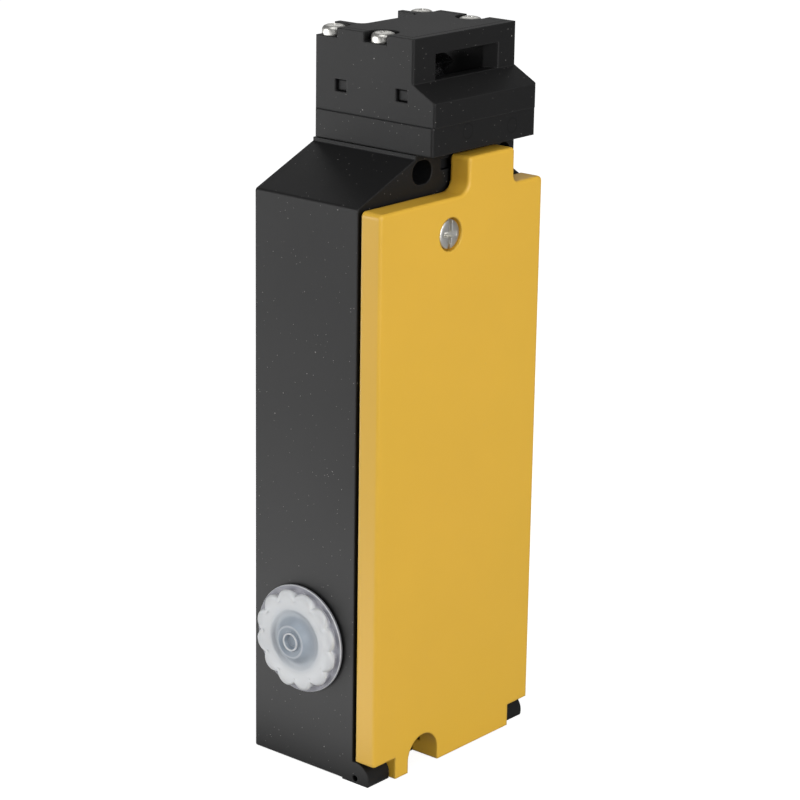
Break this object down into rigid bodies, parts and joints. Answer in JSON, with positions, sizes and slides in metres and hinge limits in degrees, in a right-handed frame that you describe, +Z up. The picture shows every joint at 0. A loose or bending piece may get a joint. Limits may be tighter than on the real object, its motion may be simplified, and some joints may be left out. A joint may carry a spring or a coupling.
{
  "type": "tongue interlock switch",
  "caption": "Tongue-operated guard interlock switch: black housing with a turnable head, hinged yellow front cover, dust-capped cable entry and a solenoid lock inside.",
  "frame": {"origin": "middle of the housing's flat underside, halfway between the cover's front face and the mounting face", "axes": "+Z up towards the head, +Y from the cover to the mounting face, +X to the right seen from the front"},
  "size_m": [0.0614, 0.037, 0.1701],
  "materials": {
    "black_plastic": "fine spark texture",
    "yellow_plastic": "satin gloss",
    "cap_plastic": "milky, natural",
    "seal_rubber": "matt",
    "zinc_screw": "zinc plated",
    "steel": "ground",
    "cam_metal": "cast and tumbled",
    "spring_steel": "drawn wire",
    "contact_brass": "stamped",
    "copper_winding": "enamelled wire",
    "white_plastic": "moulded",
    "grey_plastic": "moulded"
  },
  "bodies": {
    "body": {"housing": "black_plastic", "hinge_pin_left": "steel", "hinge_pin_right": "steel", "plunger_guide": "white_plastic", "plunger_seal": "seal_rubber", "plunger_spring": "spring_steel", "retaining_fork": "black_plastic", "contact_block": "grey_plastic", "fixed_contacts": "contact_brass", "terminal_screws": "zinc_screw", "terminal_strip": "grey_plastic", "inner_frame": "black_plastic", "frame_screws": "zinc_screw", "solenoid_yoke": "steel", "solenoid_bobbin": "white_plastic", "solenoid_coil": "copper_winding", "solenoid_core": "steel", "lock_spring": "spring_steel", "monitor_switch": "grey_plastic"},
    "front_cover": {"cover": "yellow_plastic", "cover_gasket": "seal_rubber"},
    "captive_screw": {"cover_screw": "zinc_screw", "screw_keeper": "white_plastic"},
    "cap_ring": {"dust_cap_seal": "cap_plastic"},
    "cap": {"dust_cap": "cap_plastic"},
    "head": {"head_base": "black_plastic", "head_spigot": "cam_metal", "head_housing": "black_plastic", "head_lid": "black_plastic", "head_screws": "zinc_screw"},
    "cam": {"cam_wheel": "cam_metal", "cam_axle": "steel"},
    "plunger_group": {"plunger": "steel", "lock_collar": "steel", "contact_carrier": "white_plastic", "contact_bridges": "contact_brass", "contact_springs": "spring_steel"},
    "bolt": {"lock_bolt": "steel", "bolt_finger": "steel"},
    "button": {"monitor_button": "white_plastic"}
  },
  "joints": [
    {"name": "cover_hinge", "type": "hinge", "parent": "body", "child": "front_cover", "pos_m": [0, -0.0128, 0.0012], "axis": [1, 0, 0], "range_deg": [0, 110]},
    {"name": "cover_screw_turn", "type": "hinge", "parent": "front_cover", "child": "captive_screw", "pos_m": [-0.0045, -0.0182, 0.1268], "axis": [0, -1, 0], "continuous": true},
    {"name": "cap_slide", "type": "slide", "parent": "body", "child": "cap_ring", "axis": [-1, 0, 0], "range_m": [0, 0.0105]},
    {"name": "cap_turn", "type": "hinge", "parent": "cap_ring", "child": "cap", "pos_m": [-0.0285, 0.0038, 0.0317], "axis": [-1, 0, 0], "range_deg": [0, 2520]},
    {"name": "head_turn", "type": "hinge", "parent": "body", "child": "head", "pos_m": [0.00905, 0.00074, 0.14455], "axis": [0, 0, 1], "continuous": true},
    {"name": "cam_turn", "type": "hinge", "parent": "head", "child": "cam", "pos_m": [0.00905, 0.004, 0.153], "axis": [-1, 0, 0], "range_deg": [0, 60]},
    {"name": "plunger_slide", "type": "slide", "parent": "body", "child": "plunger_group", "axis": [0, 0, 1], "range_m": [0, 0.005], "deforming": ["plunger_spring"]},
    {"name": "bolt_slide", "type": "slide", "parent": "body", "child": "bolt", "axis": [-1, 0, 0], "range_m": [0, 0.0035], "stiffness_N_per_m": 200, "springref_m": -0.002, "deforming": ["lock_spring"]},
    {"name": "button_slide", "type": "slide", "parent": "body", "child": "button", "axis": [-1, 0, 0], "range_m": [0, 0.0035]}
  ],
  "couplings": [
    {"joint": "cap_turn", "follows": "cap_slide", "rad_per_m": 4188.8},
    {"joint": "cam_turn", "follows": "plunger_slide", "rad_per_m": 209.44},
    {"joint": "button_slide", "follows": "bolt_slide", "ratio": 1}
  ]
}
